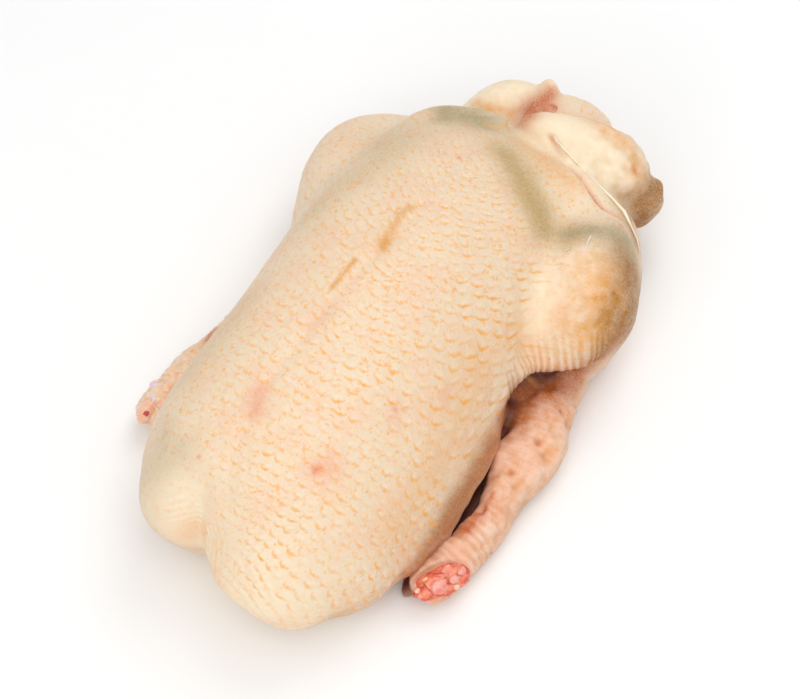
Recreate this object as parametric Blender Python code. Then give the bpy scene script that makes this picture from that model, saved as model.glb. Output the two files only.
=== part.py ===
"""A whole plucked duck, ready for the oven, lying on its back with the breast up.

The carcass is one closed solid: the trunk with its two breast lobes, the thighs, the
drumsticks folded across the vent, the tail and the two wings cut off at the wrist.
Frame: metres, +Z up, the duck lies on Z = 0, the neck end points to -Y, the tail to +Y.
All sizes below are in millimetres, for a duck of about 2.6 kg.
"""

import math

import bmesh
import bpy
import numpy as np
from mathutils import Vector

MM = 0.001

# Trunk: stations along the body, from the front of the breast to the vent. Each row is y,
# x of the middle, half width, height of the keel line, height of the widest place.
TRUNK = (
    (-137, 2, 50, 77.5, 34),
    (-119.5, 7.5, 63.5, 91, 35),
    (-87.5, 7.5, 67, 99.5, 35),
    (-46, 7.2, 66.3, 104, 35),
    (-4.5, 3.6, 65.4, 104, 35),
    (37, -0.5, 65, 99.5, 37),
    (78, 0, 60, 89.5, 38.5),
    (110.5, -3.5, 53.5, 77, 38.5),
    (136, -7.5, 42.5, 62.5, 35),
)
TRUNK_UPPER_FULLNESS = 2.15
TRUNK_LOWER_FULLNESS = 2.6
TRUNK_BLUNTNESS = 4.5
BACK_DROP = 5.5  # how far the round back would reach below the table before it is pressed flat
KEEL_LEAN = -9  # the breast settles a little to the left as the duck lies

# Each limb is a round form on a curved axis: points along the axis, half widths across
# it and half heights, each read from its first end to its last.
RIGHT_LOBE = (((8, -142.5, 27), (23, -114, 37), (37, -69, 51.5)), (37, 38, 31.5), (31, 38.5, 35))
LEFT_LOBE = (((-27, -142, 30), (-22, -108.5, 42), (-20, -69, 55)), (26, 29, 29.5), (31, 38, 35))
RIGHT_THIGH = (
    ((54, 26, 30), (69, 54, 37), (63.5, 85, 39.5), (54.5, 129, 33)),
    (12.5, 25.5, 25.5, 18.5),
    (14.5, 34, 37, 24),
)
LEFT_THIGH = (
    ((-53, 0, 29.5), (-60, 52, 36), (-67.5, 88, 33), (-50, 124, 31)),
    (16.5, 25.5, 27, 20),
    (16.5, 33, 28.5, 22),
)
RIGHT_GROIN = (((0, 106, 57), (34, 107, 47.5), (53.5, 103, 40)), (18.5, 22, 20), (16.5, 24, 22))
LEFT_GROIN = (((-16.5, 108, 56), (-38.5, 106, 46), (-55, 98, 37)), (18.5, 20, 18.5), (16.5, 20, 16.5))
RIGHT_DRUM = (
    ((53.5, 139, 27), (40, 141.7, 39), (16, 137.5, 52.5), (-8.5, 133, 66)),
    (15, 22, 19, 9),
    (18, 23, 18, 9),
)
LEFT_DRUM = (
    ((-40, 120, 28), (-28, 140, 39.5), (-19, 153, 45), (-6, 164.5, 48)),
    (16, 17, 16, 8.5),
    (18, 17.5, 14, 7.5),
)
LEFT_KNOB = (((-13, 165.5, 48), (-8.5, 172, 48)), (7.5, 6.5), (6.5, 6.5))
FLAP = (((-54, 84, 62), (-36, 105, 67), (-8.5, 125, 69)), (12, 13, 7.5), (7, 6, 4.5))
KNEE = (((50, 132, 27), (60, 156.5, 33)), (14, 11), (16, 13.5))
TAIL = (((0, 129, 26), (8, 159, 33), (15, 180, 28)), (37, 29.5, 16), (22, 16.5, 12))
RIGHT_WING = (
    ((68, 60.5, 16.5), (74.5, 26, 14.5), (83, -9, 13), (86, -46, 11), (80, -92.5, 11)),
    (16, 14.5, 14.5, 9.8, 12.2),
    (14, 13, 12, 11, 10),
)
LEFT_WING = (
    ((-60.5, 55, 16.5), (-62.5, 18.5, 14.5), (-68, -18.5, 14), (-77.5, -50.5, 12), (-82, -85.5, 10)),
    (16.5, 14.5, 13, 11, 11),
    (14, 13, 12, 11, 10),
)
# The skin between each wing and the flank, a low web along the table.
RIGHT_WEB = (
    ((60.5, 60.5, 9), (68, 0, 4.5), (70, -55, 2.5), (71, -96, 3)),
    (20, 13, 11, 8),
    (13, 6, 4, 5),
)
LEFT_WEB = (
    ((-51.5, 55, 9), (-55, 0, 5.5), (-64.5, -46, 4.5), (-73.5, -77.5, 3.5)),
    (20, 13, 11, 8.5),
    (13, 6.5, 5.5, 4.5),
)
LOBES = (RIGHT_LOBE, LEFT_LOBE)
LEG_ROOTS = (RIGHT_THIGH, LEFT_THIGH, RIGHT_GROIN, LEFT_GROIN)
LIMBS = (RIGHT_DRUM, LEFT_DRUM, LEFT_KNOB, FLAP, KNEE, TAIL, RIGHT_WEB, LEFT_WEB)
CUT_LIMBS = (RIGHT_WING, LEFT_WING)
LIMB_BLUNTNESS = 2.4
LOBE_BLUNTNESS = 3.2
CUT_BLUNTNESS = 6.0

# The dent between the two front lobes.
NOTCH_MIDDLE = -10
NOTCH_TO_LEFT = 8
NOTCH_TO_RIGHT = 3
NOTCH_DEPTH = 11
NOTCH_ALONG = (-99, -138)  # from no dent to the whole dent
NOTCH_HEIGHTS = (81, 46)

# Where the skin is drawn taut, each from untouched to taut.
DIP_HEIGHTS = (28, 46)
DIP_ALONG = (-37, 9)
BREAST_ALONG = (-37, -74)
BREAST_HEIGHTS = (13, 37)
BREAST_TAUTNESS = 0.7

BODY_VOXEL = 3.0
BODY_SMOOTHING = 4
TAUT_SMOOTHING = 45
VOXEL = 2.0
LIMB_SMOOTHING = 5
TRIANGLES = 11000
LEVEL = 0.1  # what is lower than this lies on the table


def through(points, share):
    """A point on the smooth curve through the given points, at a share from 0 to 1 of its spans."""
    points = np.asarray(points, float)
    spans = len(points) - 1
    place = np.clip(share, 0.0, 1.0) * spans
    span = np.minimum(place.astype(int), spans - 1)
    step = (place - span)[:, None]
    slopes = np.gradient(points, axis=0)
    start, end = points[span], points[span + 1]
    leave, arrive = slopes[span], slopes[span + 1]
    cube, square = step**3, step**2
    return (
        (2 * cube - 3 * square + 1) * start
        + (cube - 2 * square + step) * leave
        + (3 * square - 2 * cube) * end
        + (cube - square) * arrive
    )


def unit_ball(segments, rings):
    """A ball of radius 1 as a bmesh, with its poles on Z, and its points as an array."""
    form = bmesh.new()
    bmesh.ops.create_uvsphere(form, u_segments=segments, v_segments=rings, radius=1.0)
    return form, np.array([vert.co for vert in form.verts])


def along_and_closing(ball, bluntness):
    """How far along its axis each point of a drawn-out ball lies, and how much its end closes there."""
    pole = np.clip(ball[:, 2], -1, 1)
    return (1 + pole) / 2, (1 - np.abs(pole) ** bluntness) ** (1 / bluntness)


def placed(form, points):
    for vert, point in zip(form.verts, points):
        vert.co = Vector(point) * MM
    bmesh.ops.recalc_face_normals(form, faces=form.faces)
    return form


def limb(axis, widths, heights, bluntness=LIMB_BLUNTNESS):
    """A ball drawn out along a curved axis."""
    form, ball = unit_ball(36, 48)
    share, closing = along_and_closing(ball, bluntness)
    centre = through(axis, share)
    ahead = through(axis, np.minimum(share + 0.01, 1.0)) - through(axis, np.maximum(share - 0.01, 0.0))
    ahead /= np.linalg.norm(ahead, axis=1)[:, None]
    across = np.cross(ahead, (0, 0, 1))
    across /= np.linalg.norm(across, axis=1)[:, None]
    over = np.cross(across, ahead)
    size = through(np.column_stack((widths, heights)), share) * closing[:, None]
    turn = np.arctan2(ball[:, 1], ball[:, 0])
    points = (
        centre
        + across * (size[:, 0] * np.cos(turn))[:, None]
        + over * (size[:, 1] * np.sin(turn))[:, None]
    )
    return placed(form, points)


def trunk():
    """The body without its limbs, from the front of the breast to the vent."""
    form, ball = unit_ball(72, 96)
    share, closing = along_and_closing(ball, TRUNK_BLUNTNESS)
    station = through(TRUNK, share)
    turn = np.arctan2(ball[:, 1], ball[:, 0])
    cosine, sine = np.cos(turn), np.sin(turn)
    upper = sine > 0
    fullness = np.where(upper, TRUNK_UPPER_FULLNESS, TRUNK_LOWER_FULLNESS)
    radius = closing * (np.abs(cosine) ** fullness + np.abs(sine) ** fullness) ** (-1 / fullness)
    y, middle, half_width, keel, widest = station.T
    height = widest + np.where(upper, keel - widest, widest + BACK_DROP) * radius * sine
    lean = KEEL_LEAN * np.clip(height / keel, 0, 1)
    points = np.column_stack((middle + half_width * radius * cosine + lean, y, height))
    return placed(form, points)


def body_forms():
    """The fleshy forms that the breast's skin covers in one."""
    yield trunk()
    for form in LOBES:
        yield limb(*form, bluntness=LOBE_BLUNTNESS)
    for form in LEG_ROOTS:
        yield limb(*form)


def limb_forms():
    """The forms that stay apart from the breast by a crease."""
    for form in LIMBS:
        yield limb(*form)
    for form in CUT_LIMBS:
        yield limb(*form, bluntness=CUT_BLUNTNESS)


def evaluated_mesh(carcass):
    """Puts the result of the object's modifiers into its mesh, and clears them."""
    bpy.context.view_layer.update()
    graph = bpy.context.evaluated_depsgraph_get()
    mesh = bpy.data.meshes.new_from_object(carcass.evaluated_get(graph))
    carcass.modifiers.clear()
    carcass.data = mesh


def fuse(carcass, forms, voxel, passes):
    """Lays one closed skin round the carcass and all the forms."""
    whole = bmesh.new()
    whole.from_mesh(carcass.data)
    for form in forms:
        piece = bpy.data.meshes.new("form")
        form.to_mesh(piece)
        form.free()
        whole.from_mesh(piece)
        bpy.data.meshes.remove(piece)
    whole.to_mesh(carcass.data)
    whole.free()
    remesh = carcass.modifiers.new("fuse", "REMESH")
    remesh.mode = "VOXEL"
    remesh.voxel_size = voxel * MM
    smooth = carcass.modifiers.new("soften", "SMOOTH")
    smooth.factor = 0.5
    smooth.iterations = passes
    evaluated_mesh(carcass)


def ramp(values, start, end):
    """0 before start, 1 after end, and a smooth rise between them."""
    share = np.clip((values - start) / (end - start), 0.0, 1.0)
    return share * share * (3 - 2 * share)


def ease(carcass, weights, passes):
    """Smooths the skin where the weights are high, and leaves the rest as it is."""
    group = carcass.vertex_groups.new(name="ease")
    for index, weight in enumerate(weights):
        if weight > 0:
            group.add([index], float(weight), "REPLACE")
    smooth = carcass.modifiers.new("ease", "SMOOTH")
    smooth.factor = 0.5
    smooth.iterations = passes
    smooth.vertex_group = group.name
    evaluated_mesh(carcass)
    carcass.vertex_groups.clear()


def stretch_skin(carcass):
    """Draws the skin taut over the breast, the front lobes and the dip beside each thigh."""
    places = np.array([vert.co for vert in carcass.data.vertices]) / MM
    y, height = places[:, 1], places[:, 2]
    beside_thighs = ramp(height, *DIP_HEIGHTS) * ramp(y, *DIP_ALONG)
    front = ramp(y, *BREAST_ALONG) * ramp(height, *BREAST_HEIGHTS) * BREAST_TAUTNESS
    ease(carcass, np.maximum(beside_thighs, front), TAUT_SMOOTHING)


def part_lobes(carcass):
    """Draws the skin in between the two front lobes, where the wishbone lies."""
    for vert in carcass.data.vertices:
        x, y, height = np.array(vert.co) / MM
        width = NOTCH_TO_LEFT if x < NOTCH_MIDDLE else NOTCH_TO_RIGHT
        nearness = math.exp(-abs(x - NOTCH_MIDDLE) / width)
        front = ramp(y, *NOTCH_ALONG) * ramp(height, *NOTCH_HEIGHTS)
        vert.co.y += NOTCH_DEPTH * MM * nearness * front


def rest_flat(carcass):
    """Cuts the back off level with the table."""
    form = bmesh.new()
    form.from_mesh(carcass.data)
    everything = form.verts[:] + form.edges[:] + form.faces[:]
    cut = bmesh.ops.bisect_plane(
        form, geom=everything, plane_co=(0, 0, 0), plane_no=(0, 0, -1), clear_outer=True
    )
    rim = [piece for piece in cut["geom_cut"] if isinstance(piece, bmesh.types.BMEdge)]
    bmesh.ops.holes_fill(form, edges=rim, sides=0)
    bmesh.ops.recalc_face_normals(form, faces=form.faces)
    form.to_mesh(carcass.data)
    form.free()


def thin_out(carcass):
    """Fewer triangles, kept where the surface bends."""
    carcass.data.calc_loop_triangles()
    decimate = carcass.modifiers.new("thin_out", "DECIMATE")
    decimate.ratio = min(1.0, TRIANGLES / len(carcass.data.loop_triangles))
    decimate.use_collapse_triangulate = True
    evaluated_mesh(carcass)


def stand_on_origin(carcass):
    """Puts the middle of the duck's footprint on the origin, and its back level on the table."""
    places = np.array([vert.co for vert in carcass.data.vertices])
    middle = (places.min(axis=0) + places.max(axis=0)) / 2
    for vert in carcass.data.vertices:
        vert.co.x -= middle[0]
        vert.co.y -= middle[1]
        if vert.co.z < LEVEL * MM:
            vert.co.z = 0


def skin_material():
    material = bpy.data.materials.new("duck_skin")
    material.use_nodes = True
    shader = material.node_tree.nodes["Principled BSDF"]
    shader.inputs["Base Color"].default_value = (0.86, 0.63, 0.43, 1.0)
    shader.inputs["Roughness"].default_value = 0.45
    shader.inputs["Metallic"].default_value = 0.0
    return material


def main():
    for old in list(bpy.data.objects):
        bpy.data.objects.remove(old)
    carcass = bpy.data.objects.new("duck", bpy.data.meshes.new("duck"))
    bpy.context.scene.collection.objects.link(carcass)
    fuse(carcass, body_forms(), BODY_VOXEL, BODY_SMOOTHING)
    stretch_skin(carcass)
    part_lobes(carcass)
    fuse(carcass, limb_forms(), VOXEL, LIMB_SMOOTHING)
    rest_flat(carcass)
    thin_out(carcass)
    stand_on_origin(carcass)
    carcass.data.shade_smooth()
    carcass.data.materials.append(skin_material())


main()
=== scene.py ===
# The looks of an oven-ready duck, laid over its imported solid: pimpled skin with feather follicles,
# wings cut at the joint, legs tucked behind the belly and torn skin round the vent.
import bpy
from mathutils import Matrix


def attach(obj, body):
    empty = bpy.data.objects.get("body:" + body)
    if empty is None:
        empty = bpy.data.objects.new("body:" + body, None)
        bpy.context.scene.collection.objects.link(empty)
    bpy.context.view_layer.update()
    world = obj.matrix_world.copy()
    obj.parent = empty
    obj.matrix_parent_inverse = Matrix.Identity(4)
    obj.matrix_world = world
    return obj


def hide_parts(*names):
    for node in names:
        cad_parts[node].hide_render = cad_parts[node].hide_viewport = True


bl_info = {
    "name": "Oven-ready duck",
    "version": (1, 0, 0),
    "blender": (4, 5, 0),
    "location": "3D View > Sidebar > Duck",
    "description": "Builds the skin, the cut wing ends, the vent and the studio round the packed duck",
    "category": "Add Mesh",
}

import math

import bmesh
import bpy
import numpy as np
from bpy.props import FloatProperty, FloatVectorProperty, PointerProperty
from mathutils import Matrix, Vector

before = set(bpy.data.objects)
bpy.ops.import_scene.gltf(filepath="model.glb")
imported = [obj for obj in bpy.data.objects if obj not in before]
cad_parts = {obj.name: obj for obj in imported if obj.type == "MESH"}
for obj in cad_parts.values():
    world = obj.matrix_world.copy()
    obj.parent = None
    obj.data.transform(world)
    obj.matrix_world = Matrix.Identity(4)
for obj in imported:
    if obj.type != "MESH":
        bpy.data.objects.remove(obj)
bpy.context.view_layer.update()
MM = 0.001
NODE = "duck"
BODY = "root"

# Places on the bird, which lies on its back, in millimetres: x to its right, y from the neck end to the legs
# and z up.
# The trunk's middle line, which the follicles are laid out round.
TRUNK_MIDDLE = (
    (-154, 0.5), (-102, 5.8), (-60, 5.8), (-19, 2.6), (23, -2.2), (64, -1.7), (96, -5.2), (122, -9.2),
)
TRUNK_AXIS_HEIGHT = 36.0
FRONT_TURN = -100.0
FRONT_RADIUS = 62.0
KEEL = (
    (-16.9, 90, 77), (-14.5, 70, 86), (-7.5, 33, 97), (-6.5, 1, 102), (-9.5, -39, 104),
    (-9.8, -71, 103), (-10.6, -105, 97.5), (-6.4, -123, 92), (0, -143, 76),
)
RIGHT_WING = ((66.5, 46, 18), (73, 12, 15), (81.3, -23, 13), (84.3, -60, 11), (78.5, -106, 11))
LEFT_WING = ((-62, 41, 17), (-64, 4, 15), (-69.7, -33, 14), (-79.2, -65, 12), (-83.7, -99, 11))
RIGHT_DRUM = ((-3.7, 118, 68), (18, 122, 68), (37, 121, 62), (52, 124, 53))
LEFT_DRUM = ((-46, 118, 48), (-32, 130, 56), (-21, 139, 56), (-12, 151, 52))
WEDGE_CREASE = (
    (10, 114, 67), (18, 110, 65), (26, 106, 65), (34, 102, 66.5), (44, 97, 66), (54, 93, 64.5), (61, 94, 62),
)
DRUM_BACK = ((2, 131, 64), (12, 136, 62), (28, 138, 60), (41, 136, 57))
THIGH_HEM = ((60, -8, 28), (62.5, 3, 27.5), (65, 11, 28), (75.5, 17, 30), (86, 25, 31), (92, 34, 30))
FLANK_EDGE = ((66, -30, 26), (68, -52, 27), (69, -73, 24), (69, -97, 21))
FLANK_BAND = (
    (63, -8, 32), (64.5, -20, 31), (69, -42, 32.5), (71, -66, 31.5), (71, -85, 28), (68, -104, 21),
)
UNDER_HEM = ((62, 4, 26), (67, 11, 27.5), (76, 18, 31), (86, 26, 31))
GAP_TOP = ((62.5, -1.6, 25), (64.5, -10, 22), (66.7, -18, 19.6), (67.4, -28, 12))
GAP_FLOOR = ((66, -26, 8), (68, -42, 7), (69, -60, 6.5), (69, -76, 6.5), (70, -90, 8), (68, -103, 5))
WEB = ((65, -14, 21), (69, 3, 26), (75, 14, 28.5), (83, 24, 30))
LOBE_FOLD = ((-17.6, -136.6, 82.8), (-28, -144, 72), (-37.5, -152, 59.6))
LOBE_HOLLOW = (-15, -150, 42)
VENT_LINE = ((-30, 100, 72.5), (-22, 105, 72.5), (-15, 113, 71), (-8, 117.5, 69.5))
VENT_HOLLOW = ((-6, 120, 66), (-11, 134, 53), (-9, 148, 52))
WING_PITS = ((84.5, 27, 22), (84, 6, 23.5), (83.5, -16, 24.9), (82.4, -36, 23.8), (79.4, -59, 20.3))
WING_PATCHES = ((88.7, 4, 18.1), (89.4, -19.5, 22.2), (88.9, -40.2, 21.8))
# The slanting cut through the right wing: a place on it, the way it runs and the way it faces.
CUT_PLACE = (83.2, -98.4, 15.2)
CUT_ALONG = (0.58, 0.78, 0.23)
CUT_FACING = (0.30, -0.48, 0.82)
CUT_HALVES = (14.0, 7.6)
# The skin faces down where its normal's z is below this.
UNDERSIDE_FACING = -0.1


# What every colour property has in common.
COLOUR = {"subtype": "COLOR", "size": 3, "min": 0, "max": 1}


class SkinLooks(bpy.types.PropertyGroup):
    """Sizes and colours of the skin."""
    voxel: FloatProperty(name="Mesh size", description="Edge of the cells that the skin is meshed with",
                         default=1.15 * MM, unit="LENGTH")
    faces_kept: FloatProperty(name="Faces kept", default=0.63, min=0.5, max=1.0,
                              description="Share of the faces left once the underside is thinned")
    pimple_height: FloatProperty(name="Pimple height", description="How far each follicle's pimple stands up",
                                 default=0.26 * MM, unit="LENGTH")
    pit_depth: FloatProperty(name="Pit depth", description="How deep each follicle's mouth goes in",
                             default=0.22 * MM, unit="LENGTH")
    column_pitch: FloatProperty(name="Column pitch", description="Follicle spacing across the breast",
                                default=6.5 * MM, unit="LENGTH")
    row_pitch: FloatProperty(name="Row pitch", description="Follicle spacing along the breast",
                             default=5.3 * MM, unit="LENGTH")
    keel_depth: FloatProperty(name="Keel groove", description="Depth of the line along the breastbone",
                              default=0.9 * MM, unit="LENGTH")
    cream: FloatVectorProperty(name="Skin", description="Main colour of the skin",
                               default=(0.81, 0.655, 0.475), **COLOUR)
    rose: FloatVectorProperty(name="Rosy skin", description="Warmer patches of the skin",
                              default=(0.83, 0.60, 0.43), **COLOUR)
    # Partly painted shade, in the valley between the right thigh and the breast; elsewhere the darker tone of
    # thin skin over dark flesh.
    olive: FloatVectorProperty(name="Shaded skin", description="Thin skin over dark flesh",
                               default=(0.50, 0.355, 0.15), **COLOUR)
    # Mostly painted shade, on the down-facing sides of the thigh, the knee and the low flank and in the flank
    # band over the gap; also the real brown cores of the wing's feather patches.
    brown: FloatVectorProperty(name="Brown skin", description="Skin low on the thigh and flank",
                               default=(0.36, 0.16, 0.040), **COLOUR)
    # Partly the paler fat skin of the drumsticks and breast ends; partly painted highlights, as on the top of
    # the right thigh.
    pale: FloatVectorProperty(name="Pale skin", description="Fat skin of legs and breast ends",
                              default=(0.93, 0.80, 0.58), **COLOUR)
    pink: FloatVectorProperty(name="Pink skin", description="Skin of the wings",
                              default=(0.80, 0.40, 0.26), **COLOUR)
    ochre: FloatVectorProperty(name="Breastbone mark", description="Stain over the breastbone",
                               default=(0.70, 0.34, 0.09), **COLOUR)
    # Partly the greenish-grey tone of thin skin, as on the vent flap; partly painted shade on the left breast
    # end's side, where it turns down away from the light.
    grey: FloatVectorProperty(name="Greyish skin", description="Thin greenish-grey skin",
                              default=(0.43, 0.345, 0.20), **COLOUR)
    # Partly the real warm tone of the thigh, the joints and the feather pits; partly painted shade where the
    # thigh turns away from the light and in the hollows and crevices at the rear and at the notch.
    orange: FloatVectorProperty(name="Orange skin", description="Warm skin of the thigh and the joints",
                                default=(0.80, 0.41, 0.15), **COLOUR)
    # Painted shade under the thigh's hem, on the web below it and along the flank band above the gap.
    shade: FloatVectorProperty(name="Web", description="Brown skin of the web under the thigh",
                               default=(0.46, 0.15, 0.055), **COLOUR)
    vent: FloatVectorProperty(name="Vent", description="Bare flesh in the hollow at the vent",
                              default=(0.58, 0.19, 0.09), **COLOUR)
    # Painted shade: the near-black of the deep gap under the flank and of the crease under the thigh's hem.
    gap: FloatVectorProperty(name="Under the wing", description="Skin in the gap under the flank",
                             default=(0.10, 0.016, 0.010), **COLOUR)
    # Blood spots and raw flesh; also painted shade as thin dark lines in the creases round the wedge and
    # under the vent flap.
    red: FloatVectorProperty(name="Red marks", description="Small blood spots and raw flesh",
                             default=(0.72, 0.16, 0.07), **COLOUR)
    yellow: FloatVectorProperty(name="Yellow grain", description="Specks of yellow fat in the skin",
                                default=(0.88, 0.62, 0.28), **COLOUR)
    lilac: FloatVectorProperty(name="Lilac grain", description="Cool specks where the skin is thin",
                               default=(0.84, 0.70, 0.64), **COLOUR)
    follicle: FloatVectorProperty(name="Follicle", description="Colour of a follicle's mouth",
                                  default=(0.88, 0.40, 0.07), **COLOUR)


class FleshLooks(bpy.types.PropertyGroup):
    """Sizes and colours of what shows where the bird was cut."""
    knob_radius: FloatProperty(name="Bone knob", description="Radius of the bone end at the left wing",
                               default=3.3 * MM, unit="LENGTH")
    quill_radius: FloatProperty(name="Quill radius", description="Radius of the quills left on the thigh",
                                default=0.28 * MM, unit="LENGTH")
    flesh: FloatVectorProperty(name="Flesh", description="Raw flesh at the cuts",
                               default=(0.66, 0.085, 0.045), **COLOUR)
    gristle: FloatVectorProperty(name="Gristle", description="Pink joint ends in the cut",
                                 default=(0.82, 0.37, 0.30), **COLOUR)
    fat: FloatVectorProperty(name="Fat", description="Lobes of fat at the cuts",
                             default=(0.88, 0.56, 0.40), **COLOUR)
    bone: FloatVectorProperty(name="Bone end", description="Bluish bone end and tendon",
                              default=(0.74, 0.62, 0.72), **COLOUR)
    quill: FloatVectorProperty(name="Quill", description="Hair quills",
                               default=(0.93, 0.90, 0.82), **COLOUR)


class StudioLooks(bpy.types.PropertyGroup):
    """Camera, lights and floor."""
    azimuth: FloatProperty(name="Azimuth", description="Side the camera stands on", subtype="ANGLE",
                           default=math.radians(33))
    elevation: FloatProperty(name="Elevation", description="Camera's height above the floor as an angle",
                             default=math.radians(56), subtype="ANGLE")
    distance: FloatProperty(name="Distance", description="From the bird to the camera", unit="LENGTH",
                            default=1.15)
    lens: FloatProperty(name="Lens", description="Focal length in millimetres", default=109.69)
    target: FloatVectorProperty(name="Aim", description="Point that the camera looks at", unit="LENGTH",
                                size=3, default=(0.007506, -0.016134, 0.0414))
    top_power: FloatProperty(name="Top light", description="Watts of the light overhead", default=7.5)
    front_power: FloatProperty(name="Front light", description="Watts of the light at the neck", default=5.6)
    rear_power: FloatProperty(name="Rear light", description="Watts of the light at the legs", default=6.7)
    sky: FloatProperty(name="Room light", description="Strength of the room's even light", default=0.60)
    floor: FloatVectorProperty(name="Floor", description="Colour of the floor",
                               default=(0.93, 0.93, 0.93), **COLOUR)


# Fields over the skin: every one takes points in millimetres and gives one number for each.
def soft_noise(points, size, seed):
    """Smooth random heights from -1 to 1, with lumps of the given size."""
    grid = np.random.default_rng(seed).uniform(-1, 1, (48, 48, 48))
    cell = points / size
    low = np.floor(cell).astype(int)
    part = cell - low
    part = part * part * (3 - 2 * part)
    total = np.zeros(len(points))
    for corner in np.ndindex(2, 2, 2):
        weight = np.prod(np.where(np.array(corner), part, 1 - part), axis=1)
        i, j, k = ((low + np.array(corner)) % 48).T
        total += weight * grid[i, j, k]
    return total


def ramp(values, start, end):
    """0 before start, 1 after end and a smooth rise between."""
    share = np.clip((values - start) / (end - start), 0, 1)
    return share * share * (3 - 2 * share)


X, Y, Z = range(3)


def rise(points, axis, start, end):
    """0 before start and 1 after end, along one axis; the end may be the lower one."""
    return ramp(points[:, axis], start, end)


def near(points, place, radius):
    """1 at a place, fading out round it."""
    return np.exp(-np.sum(((points - np.array(place)) / radius) ** 2, axis=1))


def distance_to(points, path):
    """Distance to a path of places, and the share of the path passed there."""
    path = np.array(path, float)
    best = np.full(len(points), np.inf)
    share = np.zeros(len(points))
    for index, (start, end) in enumerate(zip(path, path[1:])):
        leg = end - start
        along = np.clip((points - start) @ leg / max(leg @ leg, 1e-9), 0, 1)
        gap = np.linalg.norm(points - start - along[:, None] * leg, axis=1)
        share = np.where(gap < best, (index + along) / (len(path) - 1), share)
        best = np.minimum(best, gap)
    return best, share


def beside(points, path, width):
    """1 on a path, fading out beside it; a path may be one place twice."""
    return np.exp(-(distance_to(points, path)[0] / width) ** 2)
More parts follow.
